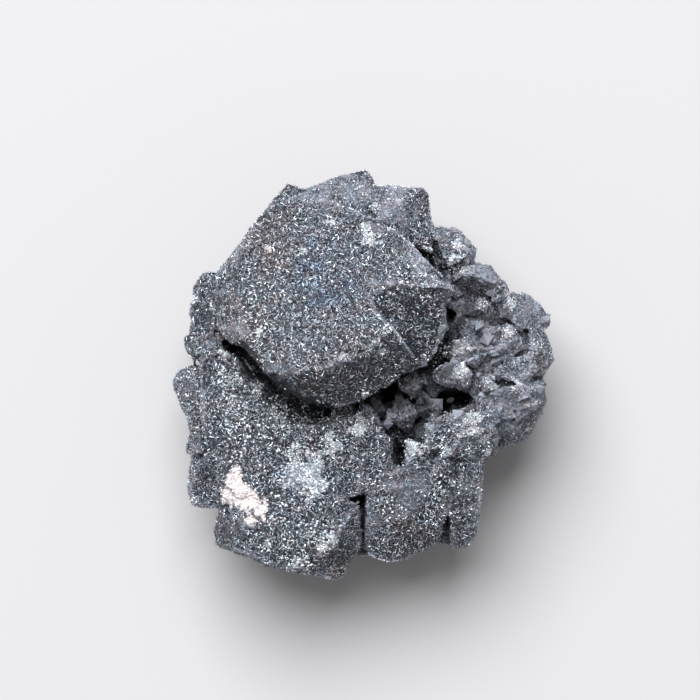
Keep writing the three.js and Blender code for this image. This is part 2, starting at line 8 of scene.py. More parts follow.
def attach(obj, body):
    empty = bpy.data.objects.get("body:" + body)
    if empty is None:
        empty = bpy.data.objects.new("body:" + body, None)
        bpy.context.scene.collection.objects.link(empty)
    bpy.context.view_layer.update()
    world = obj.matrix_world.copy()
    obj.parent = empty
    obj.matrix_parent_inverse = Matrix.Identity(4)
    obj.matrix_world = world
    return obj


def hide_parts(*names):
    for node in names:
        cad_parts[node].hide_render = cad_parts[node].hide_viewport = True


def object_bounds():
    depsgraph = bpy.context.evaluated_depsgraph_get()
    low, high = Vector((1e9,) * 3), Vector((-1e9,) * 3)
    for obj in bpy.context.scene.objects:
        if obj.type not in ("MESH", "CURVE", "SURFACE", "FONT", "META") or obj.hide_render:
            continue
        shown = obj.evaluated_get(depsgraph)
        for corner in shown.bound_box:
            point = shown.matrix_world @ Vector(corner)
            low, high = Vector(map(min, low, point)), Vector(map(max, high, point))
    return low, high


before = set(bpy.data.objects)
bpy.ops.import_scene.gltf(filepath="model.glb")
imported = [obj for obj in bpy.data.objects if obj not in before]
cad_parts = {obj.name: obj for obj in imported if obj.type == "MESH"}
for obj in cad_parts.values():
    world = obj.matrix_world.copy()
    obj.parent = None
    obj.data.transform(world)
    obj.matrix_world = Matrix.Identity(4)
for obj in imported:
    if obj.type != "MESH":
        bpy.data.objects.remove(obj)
cadBox = [list(corner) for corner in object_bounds()]
mm = 0.001


class Wire:  # a socket of a node tree: arithmetic on it adds Math nodes
    def __init__(self, tree, socket):
        self.tree = tree
        self.socket = socket

    def maths(self, operation, *values):
        return self.tree.add("ShaderNodeMath", {"operation": operation}, dict(enumerate(values)))

    def __add__(self, other):
        return self.maths("ADD", self, other)

    def __radd__(self, other):
        return self.maths("ADD", other, self)

    def __sub__(self, other):
        return self.maths("SUBTRACT", self, other)

    def __rsub__(self, other):
        return self.maths("SUBTRACT", other, self)

    def __mul__(self, other):
        return self.maths("MULTIPLY", self, other)

    def __rmul__(self, other):
        return self.maths("MULTIPLY", other, self)

    def __neg__(self):
        return self.maths("MULTIPLY", self, -1.0)

    def __pow__(self, other):
        return self.maths("POWER", self, other)

    def __rpow__(self, other):
        return self.maths("POWER", other, self)

    def beside(self, name):  # another output of the same node
        return Wire(self.tree, self.socket.node.outputs[name])


class Nodes:  # a node tree, filled through one method
    def __init__(self, group):
        self.group = group

    def add(self, kind, settings=None, inputs=None, output=0):
        node = self.group.nodes.new(kind)
        for name, value in (settings or {}).items():
            setattr(node, name, value)
        for name, value in (inputs or {}).items():
            self.feed(node.inputs[name], value)
        return Wire(self, node.outputs[output] if node.outputs else None)

    def feed(self, socket, value):
        if isinstance(value, Wire):
            self.group.links.new(value.socket, socket)
        else:
            socket.default_value = value

    def vector(self, operation, first, second, output=0):
        return self.add("ShaderNodeVectorMath", {"operation": operation}, {0: first, 1: second}, output)

    def blend(self, share, first, second):  # colours
        pair = [value if isinstance(value, Wire) else (*value, 1.0) for value in (first, second)]
        return self.add("ShaderNodeMix", {"data_type": "RGBA"}, {0: share, 6: pair[0], 7: pair[1]}, 2)

    def between(self, value, low, high):  # 0 below low, 1 above high, smooth in between
        return self.add("ShaderNodeMapRange", {"interpolation_type": "SMOOTHSTEP"},
                        {"Value": value, "From Min": low, "From Max": high})

    def mark(self, name):  # a value painted on the stone, which its grains carry too
        return self.add("ShaderNodeAttribute", {"attribute_name": name}, {}, "Fac")

    def place(self, grain):  # object coordinates counted in grains of this many millimetres
        where = self.add("ShaderNodeTexCoord", {}, {}, "Object")
        return self.add("ShaderNodeMapping", {}, {"Vector": where, "Scale": (1 / (grain * mm),) * 3})


def newMaterial(name):
    material = bpy.data.materials.new(name)
    material.use_nodes = True
    return material, Nodes(material.node_tree), material.node_tree.nodes["Principled BSDF"].inputs


def plainMesh(thing, name):  # what the modifiers make, as a mesh of its own
    graph = bpy.context.evaluated_depsgraph_get()
    mesh = bpy.data.meshes.new_from_object(thing.evaluated_get(graph))
    mesh.name = name
    return mesh


def addObject(name, data):
    thing = bpy.data.objects.new(name, data)
    bpy.context.scene.collection.objects.link(thing)
    return thing


def meshOf(name, corners, faces):
    mesh = bpy.data.meshes.new(name)
    mesh.from_pydata(corners, [], faces)
    shape = bmesh.new()
    shape.from_mesh(mesh)
    bmesh.ops.recalc_face_normals(shape, faces=shape.faces)
    shape.to_mesh(mesh)
    shape.free()
    return mesh


def countTriangles(mesh):
    return sum(len(face.vertices) - 2 for face in mesh.polygons)


def rise(value, start, steepness):  # 0 up to start, from there at this steepness to 1
    return max(0.0, min(1.0, (value - start) * steepness))


# the stone: the cluster's own facets with worn edges and an uneven skin
stoneShape = {
    "voxel": 0.13,  # millimetres, which also rounds the crystal edges
    "triangles": 190000,
    "inset": 0.04,  # room for the grains on top
    "swells": ((0.3, 0.18), (0.8, 0.18), (2.6, 0.07)),  # waves per millimetre, height in millimetres
    "swellLevel": 0.05,  # the noise that leaves the skin where it is
    "calm": 0.5,  # how much less the ragged side swells
    "wearReach": 0.9,  # how far from a crystal edge it is worn, in millimetres
    "wearDepth": 0.26,
    "wearPatches": (0.6, 0.7, 1.6),  # waves per millimetre, the usual share of that depth, its change
    "wearAside": 0.3,  # how much of the wear goes sideways, little so that the outline keeps its place
    "throats": ((8.4, -2.6), (7.1, -3.8)),  # the two holes, as seen from above
    "throatReach": 0.9,
    "throatWall": 0.5,  # what looks up or down less than this is a wall
    "throatLumps": (1.1, 0.15, 0.55),  # waves per millimetre, how far the walls stand in, its change
    # gaps grown narrower or shut, as seen from above: x, y, reach, how far the walls stand in
    "gaps": ((-15.9, -6.5, 1.0, 0.5), (-15.7, 3.0, 1.0, 0.5), (0.1, -12.8, 0.8, 0.15),
             (0.1, -14.0, 0.8, 0.13), (0.1, -15.2, 0.8, 0.13), (0.1, -16.4, 0.8, 0.13)),
    "gapWall": 0.7,
    # the groove's line as seen from above, how far from it its walls are moved, and by how much
    "groove": ((-11.3, 1.5), (-9.7, -0.1), (-7.9, -2.1), (-6.0, -3.6), (-4.2, -3.8)),
    "grooveFloor": 11.0,  # its height over the seat
    "grooveReach": 1.9,
    "grooveShift": (0.30, 0.28),
    "grooveWiden": 0.16,
    "grooveSteep": 1.6,  # how sharply that starts
    "seat": 0.15,  # what lies lower than this is the flat break
    "sharp": 0.35,  # radians between two faces that meet in a crystal edge or a seam
    "dots": 0.2,  # how close the points along an edge or a seam are
}


def markLines(shape):  # points along the crystal edges, and along the seams between crystals, where shade is painted
    lines = {"edge": [], "creaseShade": []}
    for edge in shape.edges:
        if len(edge.link_faces) != 2 or edge.calc_face_angle() < stoneShape["sharp"]:
            continue
        start, end = (vertex.co for vertex in edge.verts)
        steps = 1 + int((end - start).length / (stoneShape["dots"] * mm))
        kind = "edge" if edge.is_convex else "creaseShade"
        lines[kind] += [start.lerp(end, i / steps) for i in range(steps + 1)]
    trees = {}
    for kind, points in lines.items():
        trees[kind] = kdtree.KDTree(len(points))
        for i, point in enumerate(points):
            trees[kind].insert(point, i)
        trees[kind].balance()
    return trees, bvhtree.BVHTree.FromBMesh(shape)


def makeStone():
    shape = bmesh.new()
    shape.from_mesh(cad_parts["crystal_cluster"].data)
    bmesh.ops.remove_doubles(shape, verts=shape.verts, dist=0.0001 * mm)
    lines, faces = markLines(shape)
    mesh = bpy.data.meshes.new("stoneDraft")
    shape.to_mesh(mesh)
    shape.free()
    draft = addObject("stoneDraft", mesh)
    remesh = draft.modifiers.new("remesh", "REMESH")
    remesh.mode = "VOXEL"
    remesh.voxel_size = stoneShape["voxel"] * mm
    mesh = plainMesh(draft, "stone")
    roughen(mesh, lines["edge"])
    draft.modifiers.clear()
    draft.data = mesh
    thin = draft.modifiers.new("thin", "DECIMATE")
    thin.ratio = stoneShape["triangles"] / countTriangles(mesh)
    mesh = plainMesh(draft, "stone")
    bpy.data.objects.remove(draft)
    for vertex in mesh.vertices:
        vertex.co = [max(low, min(value, high)) for value, low, high in zip(vertex.co, *cadBox)]
    return addObject("stone", mesh), lines, faces


def apart(place, x, y):  # in millimetres, as seen from above
    return math.hypot(place.x / mm - x, place.y / mm - y)


def grooveShare(place):  # 1 on the groove's line, 0 where it is out of reach
    x, y, z = place / mm
    reach = stoneShape["grooveReach"]
    spots = stoneShape["groove"]
    if z < stoneShape["grooveFloor"] or x > spots[-1][0] + reach:
        return 0.0
    here = Vector((x, y))
    gap = reach
    for start, end in zip(map(Vector, spots), map(Vector, spots[1:])):
        along = max(0.0, min(1.0, (here - start).dot(end - start) / (end - start).length_squared))
        gap = min(gap, (here - start.lerp(end, along)).length)
    return rise(1.0 - gap / reach, 0.0, stoneShape["grooveSteep"])


def swell(place, blocky):
    lift = 0.0
    for waves, height in stoneShape["swells"]:
        lift += height * (noise.noise(place * (waves / mm)) - stoneShape["swellLevel"])
    return lift * (1.0 - stoneShape["calm"] * blocky)


def wear(place, blocky, edges):
    closeness = max(0.0, 1.0 - edges.find(place)[2] / (stoneShape["wearReach"] * mm))
    waves, usual, change = stoneShape["wearPatches"]
    patch = max(0.0, usual + change * noise.noise(place * (waves / mm)))
    return stoneShape["wearDepth"] * closeness ** 2 * patch * (1.0 - blocky)


def wallGrowth(place, normal):  # how far the walls of the holes and the narrow gaps stand in
    growth = 0.0
    if abs(normal.z) < stoneShape["throatWall"] and any(apart(place, *throat) < stoneShape["throatReach"]
                                                        for throat in stoneShape["throats"]):
        waves, inward, change = stoneShape["throatLumps"]
        growth += inward + change * noise.noise(place * (waves / mm))
    if abs(normal.z) < stoneShape["gapWall"]:
        growth += max((inward for x, y, reach, inward in stoneShape["gaps"] if apart(place, x, y) < reach),
                      default=0.0)
    return growth


def roughen(mesh, edges):
    normals = [normal.vector.copy() for normal in mesh.vertex_normals]
    for vertex, normal in zip(mesh.vertices, normals):
        place = vertex.co.copy()
        if place.z < stoneShape["seat"] * mm:
            continue
        blocky = druseShare(place, normal)
        groove = grooveShare(place)
        lift = swell(place, blocky) + wallGrowth(place, normal) - stoneShape["grooveWiden"] * groove
        aside = stoneShape["wearAside"]
        worn = Vector((normal.x * aside, normal.y * aside, normal.z)) * wear(place, blocky, edges)
        place += Vector((*stoneShape["grooveShift"], 0.0)) * groove * mm
        vertex.co = place + (normal * (lift - stoneShape["inset"]) - worn) * mm


# where the crust changes, as seen from above: x, y, radius in millimetres, strength
marks = {
    "frostAndHighlight": [  # frosted with white crystals, and a painted highlight on the wedge's lit left edge
        (-6.2, -6.9, 0.6, 1.0), (-3.4, -5.9, 0.7, 1.0), (-2.7, -6.9, 0.9, 1.0), (-4.6, -7.9, 1.1, 1.0),
        (-6.5, -8.3, 1.2, 0.9), (-5.1, -9.5, 1.4, 1.0), (-4.5, -10.5, 1.0, 1.0), (-5.8, -11.0, 1.1, 0.6),
        (-6.9, -9.9, 1.4, 0.7), (-0.4, -4.8, 1.1, 0.8), (-3.0, -15.5, 0.7, 0.9), (-4.0, -16.3, 0.7, 0.9),
        (-6.6, -17.9, 0.7, 0.9), (-9.0, -15.8, 0.6, 0.8), (-11.9, -8.8, 0.5, 0.9), (0.6, 13.3, 1.2, 0.9),
        (8.9, 12.3, 0.6, 1.0), (8.9, 10.7, 0.9, 1.0), (11.4, 6.7, 0.8, 0.8), (13.9, 6.8, 0.7, 1.0),
        (13.7, 4.2, 0.8, 0.9), (9.1, 2.5, 1.1, 0.7), (8.9, 0.1, 1.2, 1.0), (12.1, -1.0, 0.9, 1.0),
        (14.2, -0.9, 0.8, 0.8), (10.3, -4.4, 1.2, 1.0), (7.8, -7.0, 0.7, 0.8), (-12.7, -0.3, 1.3, 0.5),
        (-10.1, -1.0, 0.5, 1.0), (-3.0, 14.5, 0.4, 1.0), (-8.9, 11.9, 0.4, 1.0), (-5.8, 11.7, 0.4, 1.0),
        (-16.0, 7.4, 0.4, 1.0), (-14.3, 6.4, 0.4, 1.0), (-9.7, 4.0, 0.4, 1.0), (-2.0, 1.9, 0.4, 1.0),
        (1.7, 2.2, 0.4, 1.0), (0.1, -1.8, 0.4, 1.0), (16.4, 3.0, 0.7, 0.6), (11.6, -6.0, 0.9, 0.5),
        (4.6, -7.0, 0.9, 0.9), (4.0, -7.9, 0.5, 1.0), (-11.0, -5.0, 3.4, 0.20), (-6.6, -15.2, 3.0, 0.15),
        (3.3, 16.3, 1.6, 0.25), (9.6, -5.5, 1.5, 0.40), (-9.6, 6.5, 2.6, 0.22), (-12.6, -2.4, 1.4, 0.4),
        (5.0, 9.0, 2.0, 0.25), (-9.4, -10.0, 1.5, 0.2), (-7.5, -3.8, 2.5, 0.3), (-16.6, -1.0, 1.4, 0.3),
        (9.3, -10.8, 1.2, 0.3), (4.0, -12.2, 2.2, 0.2), (-2.0, 17.0, 2.4, 0.2), (9.8, -5.4, 2.2, 0.3),
        (-13.2, 2.1, 0.8, 0.6), (-10.2, -1.6, 0.9, 0.4), (-7.6, -4.3, 1.0, 0.4), (2.3, 4.3, 1.0, 0.4),
        (-5.6, -17.7, 0.8, 0.6), (7.7, -10.3, 1.0, 0.3), (7.1, 2.3, 1.0, 0.6), (3.6, -0.3, 0.9, 0.4),
        (-3.6, -4.0, 0.8, 0.5), (2.9, -5.6, 0.7, 0.5), (5.9, -6.6, 0.7, 0.5), (6.1, 11.6, 0.8, 0.5),
        (0.9, 16.0, 0.7, 0.5), (-5.0, -5.6, 3.0, 0.15), (-1.5, -6.2, 2.0, 0.15),
    ],
    "warm": [  # stained brown
        (-9.0, 11.5, 4.0, 1.0), (-11.4, 5.0, 3.4, 0.9), (-9.4, 1.0, 2.6, 0.8), (4.1, -14.9, 3.2, 0.8),
        (-12.9, -14.6, 1.6, 0.8), (-3.4, -18.2, 2.4, 0.9), (9.8, -11.5, 2.4, 0.6), (10.0, 8.4, 1.8, 0.6),
        (16.9, 1.4, 1.6, 0.6), (16.2, -4.4, 1.8, 0.6), (-16.0, -3.0, 1.6, 0.5), (-1.0, 0.0, 4.5, 0.7),
        (3.5, -0.5, 3.0, 0.6), (-5.5, -1.5, 3.0, 0.7),
    ],
    "cool": [(-4.0, 8.1, 3.6, 0.8), (-5.0, 10.8, 2.2, 0.6), (-1.1, 15.6, 1.0, 0.5), (-6.0, -9.5, 3.0, 0.5)],
    "dusky": [  # a darker crust, and painted shade in the valleys beside the big crystal, in the hollow and on the wedge's right side
        (-14.9, 6.2, 2.6, 1.0), (-2.2, 16.8, 2.0, 0.7), (3.2, 13.1, 1.3, 0.9), (-12.9, -14.8, 1.9, 1.0),
        (4.6, -15.0, 2.6, 0.7), (9.7, -11.6, 2.2, 1.0), (-16.6, -1.0, 1.4, 0.7), (-0.4, -8.0, 1.6, 0.6),
        (3.9, -11.4, 2.4, 0.55), (-1.6, -12.0, 0.9, 0.8), (5.7, -7.9, 0.7, 0.5), (9.6, 6.8, 2.0, 1.0),
        (8.4, 9.0, 1.0, 1.0), (11.8, 7.2, 2.2, 1.0), (7.3, 9.8, 1.0, 1.0), (5.4, -3.0, 1.8, 1.0),
        (13.3, -5.6, 1.2, 1.0), (16.6, 5.2, 1.0, 0.6), (-1.8, -16.6, 1.8, 1.0), (6.5, -16.3, 2.2, 0.7),
        (-14.9, -9.5, 2.2, 0.6), (-15.9, 8.4, 1.4, 0.5), (5.6, 16.6, 0.8, 0.8), (-0.6, 14.1, 0.8, 0.7),
        (2.7, 13.6, 0.8, 0.7), (8.3, -5.6, 0.8, 1.0), (-9.9, 0.8, 0.8, 1.0), (-8.8, -0.4, 0.8, 1.0),
        (-7.6, -1.5, 0.9, 1.0), (-6.4, -2.4, 0.9, 1.0), (4.3, 13.3, 1.3, 0.7), (1.5, -2.8, 1.5, 1.0),
        (3.4, -2.6, 1.2, 1.0), (14.5, -2.4, 2.0, 0.6), (4.3, 13.6, 1.6, 0.9), (16.6, 3.2, 1.2, 0.8),
        (-14.2, -0.8, 1.0, 0.4), (8.6, 12.3, 1.8, 0.25), (13.4, 2.1, 2.2, 0.3),
    ],
    "shady": [  # painted shade, darker still, in the deepest places
        (9.8, 6.4, 1.7, 0.85), (12.4, 6.0, 1.7, 0.8), (5.6, -3.0, 1.5, 0.7), (8.4, -5.6, 0.7, 0.6),
        (-1.6, -17.0, 1.0, 0.5), (2.2, -3.4, 1.2, 0.6),
    ],
    "smooth": [  # finer, closer crust
        (-4.2, 17.0, 2.0, 1.0), (-1.3, 17.4, 2.3, 1.0), (3.2, 16.4, 2.6, 1.0), (5.0, 10.6, 1.8, 0.8),
        (7.0, 8.8, 1.2, 0.8), (1.0, 8.6, 0.9, 0.8), (3.2, 4.6, 0.8, 0.8), (-11.8, 4.3, 1.1, 0.8),
        (-10.8, 1.6, 1.2, 0.8), (-8.6, 0.3, 1.1, 0.7), (11.2, 9.8, 1.6, 1.0), (15.3, 6.4, 1.9, 0.9),
        (9.9, 5.9, 0.8, 0.9), (7.9, -0.5, 1.3, 0.9), (-16.7, -1.0, 1.6, 0.9), (3.9, -11.6, 2.8, 0.9),
        (0.8, -13.3, 1.6, 0.8), (9.8, -10.9, 2.0, 0.6), (14.1, -2.4, 1.8, 0.8), (4.5, -7.3, 1.2, 0.9),
        (12.6, 3.0, 1.2, 0.6), (-12.9, -14.6, 1.4, 0.7),
    ],
    "chalk": [  # a thin pinkish crust of another mineral
        (-11.9, -8.8, 0.3, 1.0), (-12.3, -10.0, 0.9, 1.0), (-11.7, -11.1, 1.2, 1.0),
        (-12.9, -11.4, 0.7, 1.0), (-10.5, -12.0, 1.1, 1.0), (-9.7, -12.9, 0.6, 1.0),
        (-10.7, -13.7, 0.6, 1.0),
    ],
}
wildMarks = {  # the same on the sides and back: size of a patch in millimetres, noise level, strength
    "frostAndHighlight": (3.0, 0.40, 1.0), "warm": (7.0, 0.10, 1.0), "cool": (8.0, 0.30, 0.4), "smooth": (5.0, 0.22, 1.0),
    "dusky": (6.0, 0.20, 0.7),
}
markEdges = {
    "wander": 0.45,  # how far the edge of a mark wanders, in radii
    "waves": 1.6,  # how often it does, in a radius
    "crisp": {"frostAndHighlight": 2.5, "chalk": 3.0},  # how sharp the edge is
    "soft": 1.2,  # the same for all other marks
    "wild": 8.0,  # the same on the sides and back
    "under": -0.05,  # what looks down more than this is out of a mark's reach
    "side": 0.25,  # what looks up less than this gets the wild marks
}
lineShape = {
    "edge": 0.50,  # how far from a crystal edge its wear and painted highlight show, in millimetres
    "creaseShade": 0.30,  # the same for the painted shade where two crystals meet
    "bigCrystal": 17.0,  # above this height is the big crystal, whose seams get little painted shade
    "bigSeam": 0.4,
}
regions = {  # millimetres, as seen from above
    "druse": (7.5, -8.0),  # the ragged side lies right of this and above it
    "hollow": ((-1.0, 10.0), (-6.0, 0.5)),  # the hollow's left and right, bottom and top
    "hollowRim": 15.5,  # its height
    "lowerFaceFloor": 16.5,  # above this height is the big crystal's lower face, which faces away from the light and gets painted shade
    "lowerFaceSlope": 0.35,  # it looks down the picture more than this
    "druseSteep": (0.8, 0.5),  # how sharply the ragged side starts, across and up
    "lowerFaceSteep": (4.0, 1.2),  # the same for that shaded face, by slope and by height
}
# rays that find the hollows, where shade is painted into the colour
shelterShape = {
    "reach": 4.0,  # millimetres: what stands closer than this shades a hollow
    "lift": 0.3,  # how far over the skin a ray starts, in millimetres
    "rays": 28,  # in all directions
    "turn": 2.39996,  # from one ray to the next, which spreads them evenly over the sphere
    "flat": 0.1,  # rays lower over the skin than this are left out
    "open": 0.25,  # the share of rays that are blocked where there is no shade yet
    "gain": 1.8,
    "blocky": 0.3,  # how much less shade there is on the ragged side
}
facetCells = 5.3  # how finely the directions of facets are told apart
frostShape = {
    "clumps": (1.9, 4.2),  # waves per millimetre
    "fine": 0.6,  # how strong the finer one is
    "level": -0.12,  # the noise where frost starts
    "crisp": 4.0,
}
thinning = {"chalk": 0.8, "creaseShade": 0.7, "blocky": 0.1, "lowerFaceShade": 0.3, "deep": 0.6}  # what the felt loses there
drusyBase = 0.1  # small crystals stand everywhere, this thickly off the ragged side
raggedLoss = 0.8  # how many of the larger ones are left out in the deep places


def spotValues(name, places, normals, tree):  # how strong one kind of mark is at every vertex
    values = [0.0] * len(places)
    crispness = markEdges["crisp"].get(name, markEdges["soft"])
    for x, y, radius, strength in marks[name]:
        size = radius * mm
        for _, i, reach in tree.find_range((x * mm, y * mm, 0.0), size * (1 + markEdges["wander"])):
            if normals[i].z < markEdges["under"]:
                continue
            wander = markEdges["wander"] * noise.noise(places[i] * (markEdges["waves"] / size)) * 2
            share = rise(1.0 + wander - reach / size, 0.0, crispness)
            values[i] = max(values[i], strength * share)
    if name in wildMarks:
        addWildMark(values, places, normals, *wildMarks[name])
    return values


def addWildMark(values, places, normals, size, level, strength):
    for i, (place, normal) in enumerate(zip(places, normals)):
        if normal.z < markEdges["side"]:
            aside = Vector((3.1, 1.7, size * 2.3))  # so that each kind has a pattern of its own
            wild = noise.noise(place / (size * mm) + aside)
            values[i] = max(values[i], strength * rise(wild, level, markEdges["wild"]))


def paintMarks(mesh, lines, faces):
    places = [vertex.co.copy() for vertex in mesh.vertices]
    normals = [normal.vector.copy() for normal in mesh.vertex_normals]
    tree = kdtree.KDTree(len(places))
    for i, place in enumerate(places):
        tree.insert((place.x, place.y, 0.0), i)
    tree.balance()
    painted = {name: spotValues(name, places, normals, tree) for name in marks}
    for kind, dots in lines.items():
        reach = lineShape[kind] * mm
        painted[kind] = [max(0.0, 1.0 - dots.find(place)[2] / reach) for place in places]
    painted["creaseShade"] = [value * (lineShape["bigSeam"] if place.z > lineShape["bigCrystal"] * mm else 1.0)
                       for value, place in zip(painted["creaseShade"], places)]
    blocky = [druseShare(place, normal) for place, normal in zip(places, normals)]
    painted["blocky"] = blocky
    # painted shade in hollows: the shelter rays' mask, raised by the shady spots
    painted["deep"] = [
        max(shelter(place, normal, faces) * (1.0 - shelterShape["blocky"] * share), shady)
        for place, normal, share, shady in zip(places, normals, blocky, painted.pop("shady"))]
    painted["lowerFaceShade"] = [lowerFaceShadeShare(place, normal) for place, normal in zip(places, normals)]
    painted["facetFlash"] = [paintedFacetFlash(faces.find_nearest(place)[1]) for place in places]
    paintCover(painted, places)
    for name, values in painted.items():
        mesh.attributes.new(name, "FLOAT", "POINT").data.foreach_set("value", values)


def paintCover(painted, places):  # how thick each kind of grain stands, with none on the flat break
    bare = [0.0 if place.z < 2 * stoneShape["seat"] * mm else 1.0 for place in places]
    crust = bare
    for name, loss in thinning.items():
        crust = [value * (1 - loss * mark) for value, mark in zip(crust, painted[name])]
    painted["crust"] = crust
    painted["druse"] = [value * (drusyBase + blocky) for value, blocky in zip(bare, painted["blocky"])]
    painted["ragged"] = [value * blocky * (1 - raggedLoss * deep)
                         for value, blocky, deep in zip(bare, painted["blocky"], painted["deep"])]
    # where the white grains stand: frost, and a painted highlight on the wedge's lit edge
    painted["rimeAndHighlight"] = [value * frostAndHighlight * frostShare(place)
                       for value, frostAndHighlight, place in zip(bare, painted["frostAndHighlight"], places)]


def spreadRays():  # on a spiral from pole to pole
    directions = []
    for i in range(shelterShape["rays"]):
        z = 1 - (2 * i + 1) / shelterShape["rays"]
        turn = i * shelterShape["turn"]
        width = (1 - z * z) ** 0.5
        directions.append(Vector((math.cos(turn) * width, math.sin(turn) * width, z)))
    return directions


rays = spreadRays()


def shelter(place, normal, faces):  # how far the crystals around this place close it in: the mask for painted shade in hollows
    start = place + normal * (shelterShape["lift"] * mm)
    free = [ray for ray in rays if ray.dot(normal) > shelterShape["flat"]]
    blocked = [faces.ray_cast(start, ray, shelterShape["reach"] * mm)[0] is not None for ray in free]
    return rise(sum(blocked) / len(free), shelterShape["open"], shelterShape["gain"])


def druseShare(place, normal):  # the ragged side and the hollow, where blocky crystals stand free
    x, y, z = place / mm
    side = 1.0
    for value, start, steepness in zip((x, y), regions["druse"], regions["druseSteep"]):
        side *= rise(value, start, steepness)
    (hollowLeft, hollowRight), (hollowBottom, hollowTop) = regions["hollow"]
    within = hollowLeft < x < hollowRight and hollowBottom < y < hollowTop and z < regions["hollowRim"]
    return max(side, 1.0 if within and normal.z > 0 else 0.0)


def frostShare(place):  # frost sits in small clumps with gaps between them
    coarse, fine = (noise.noise(place * (waves / mm)) for waves in frostShape["clumps"])
    return rise(coarse + frostShape["fine"] * fine, frostShape["level"], frostShape["crisp"])


def lowerFaceShadeShare(place, normal):  # the big crystal's lower face, which faces away from the light: the mask for painted shade on its grains
    bySlope, byHeight = regions["lowerFaceSteep"]
    height = (place / mm).z
    return rise(-normal.y, regions["lowerFaceSlope"], bySlope) * rise(height, regions["lowerFaceFloor"], byHeight)


def paintedFacetFlash(normal):  # painted flash: crystals that lie parallel flash together, their tone set by the facet's direction
    return noise.cell(normal * facetCells + Vector((0.37, 0.11, 0.73)))


# the grains: one Geometry Nodes tree strews every kind of them over the stone
finer = {"smooth": 0.35, "blocky": 0.28}  # how much smaller the grains are there
carriers = ("crust", "druse", "ragged", "rimeAndHighlight")  # marks that only say where grains stand


def strewTree():
    group = bpy.data.node_groups.new("strewGrains", "GeometryNodeTree")
    group.interface.new_socket("Geometry", in_out="INPUT", socket_type="NodeSocketGeometry")
    for name, kind in (("Grain", "Object"), ("Per Area", "Float"), ("Where", "String"), ("Smallest", "Float"),
                       ("Largest", "Float"), ("Lean", "Float"), ("Lift", "Float"), ("Seed", "Int"),
                       ("Finish", "Material")):
        group.interface.new_socket(name, in_out="INPUT", socket_type="NodeSocket" + kind)
    group.interface.new_socket("Geometry", in_out="OUTPUT", socket_type="NodeSocketGeometry")
    tree = Nodes(group)
    given = tree.add("NodeGroupInput")

    def marked(name):
        kind = "GeometryNodeInputNamedAttribute"
        return tree.add(kind, {"data_type": "FLOAT"}, {"Name": name}, "Attribute")

    seed = given.beside("Seed")
    where = marked(given.beside("Where"))
    points = tree.add("GeometryNodeDistributePointsOnFaces", {}, {
        "Mesh": given, "Density": where * given.beside("Per Area"), "Seed": seed})
    fine = (1.0 - finer["smooth"] * marked("smooth")) * (1.0 - finer["blocky"] * marked("blocky"))
    size = tree.add("FunctionNodeRandomValue", {"data_type": "FLOAT"}, {
        2: given.beside("Smallest"), 3: given.beside("Largest"), "Seed": seed}, 1)
    lean = given.beside("Lean")
    limits = [tree.add("ShaderNodeCombineXYZ", {}, {"X": value, "Y": value, "Z": half})
              for value, half in ((-lean, -math.pi), (lean, math.pi))]
    turn = tree.add("FunctionNodeRandomValue", {"data_type": "FLOAT_VECTOR"}, {
        0: limits[0], 1: limits[1], "Seed": seed}, 0)
    turn = tree.add("FunctionNodeEulerToRotation", {}, {0: turn})
    turn = tree.add("FunctionNodeRotateRotation", {"rotation_space": "LOCAL"}, {
        "Rotation": points.beside("Rotation"), "Rotate By": turn})
    lift = tree.add("ShaderNodeVectorMath", {"operation": "SCALE"}, {
        0: points.beside("Normal"), "Scale": given.beside("Lift")})
    moved = tree.add("GeometryNodeSetPosition", {}, {"Geometry": points, "Offset": lift})
    tone = tree.add("FunctionNodeRandomValue", {"data_type": "FLOAT"}, {
        2: 0.0, 3: 1.0, "Seed": seed + 1.0}, 1)
    toned = tree.add("GeometryNodeStoreNamedAttribute", {"data_type": "FLOAT", "domain": "POINT"}, {
        "Geometry": moved, "Name": "tone", "Value": tone})
    grain = tree.add("GeometryNodeObjectInfo", {}, {"Object": given.beside("Grain")}, "Geometry")
    placed = tree.add("GeometryNodeInstanceOnPoints", {}, {
        "Points": toned, "Instance": grain, "Rotation": turn, "Scale": size * fine})
    real = tree.add("GeometryNodeRealizeInstances", {}, {0: placed})
    low, high = (tuple(corner) for corner in cadBox)
    inside = tree.vector("MINIMUM", tree.vector("MAXIMUM", tree.add("GeometryNodeInputPosition"), low), high)
    kept = tree.add("GeometryNodeSetPosition", {}, {"Geometry": real, "Position": inside})
    finished = tree.add("GeometryNodeSetMaterial", {}, {"Geometry": kept, "Material": given.beside("Finish")})
    tree.add("NodeGroupOutput", {}, {"Geometry": finished})
    return group


def strew(name, values):
    carrier = addObject(name + "Carrier", stone.data)
    modifier = carrier.modifiers.new("strew", "NODES")
    modifier.node_group = strewing
    for socket in strewing.interface.items_tree:
        if socket.name in values:
            modifier[socket.identifier] = values[socket.name]
    mesh = plainMesh(carrier, name)
    bpy.data.objects.remove(carrier)
    for spare in [layer.name for layer in mesh.attributes if layer.name in carriers]:
        mesh.attributes.remove(mesh.attributes[spare])
    piece = addObject(name, mesh)
    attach(piece, "root")
    print(name, countTriangles(mesh), "triangles")


